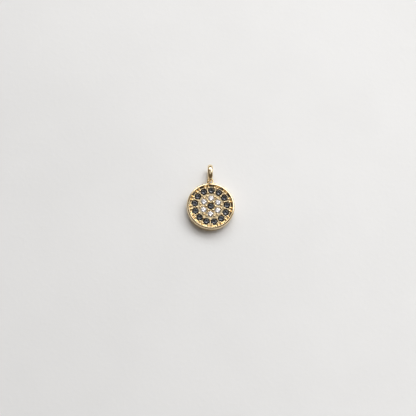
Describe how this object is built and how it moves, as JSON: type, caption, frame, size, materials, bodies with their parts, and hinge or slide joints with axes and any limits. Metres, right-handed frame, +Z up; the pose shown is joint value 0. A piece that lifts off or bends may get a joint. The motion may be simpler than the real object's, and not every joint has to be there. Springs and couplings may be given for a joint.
{
  "type": "evil eye pendant",
  "caption": "Small round stone-set pendant with a raised rim, rings of black and clear round-cut stones round a black centre, and a domed band bail linked through its hanging loop.",
  "frame": {"origin": "centre of the flat back face, which lies on the surface", "axes": "+Z up through the stone-set face, +Y from the disc's centre towards the bail, +X to the right when the face is seen with the bail at the top"},
  "size_m": [0.01, 0.0139, 0.0037],
  "materials": {
    "gold": "polished",
    "black_stone": "polished",
    "clear_stone": "polished"
  },
  "bodies": {
    "root": {"disc_setting": "gold", "bail": "gold", "black_stone_01": "black_stone", "black_stone_02": "black_stone", "black_stone_03": "black_stone", "black_stone_04": "black_stone", "black_stone_05": "black_stone", "black_stone_06": "black_stone", "black_stone_07": "black_stone", "black_stone_08": "black_stone", "black_stone_09": "black_stone", "black_stone_10": "black_stone", "black_stone_11": "black_stone", "black_stone_12": "black_stone", "black_stone_13": "black_stone", "centre_stone": "black_stone", "white_stone_1": "clear_stone", "white_stone_2": "clear_stone", "white_stone_3": "clear_stone", "white_stone_4": "clear_stone", "white_stone_5": "clear_stone", "white_stone_6": "clear_stone"}
  },
  "joints": []
}
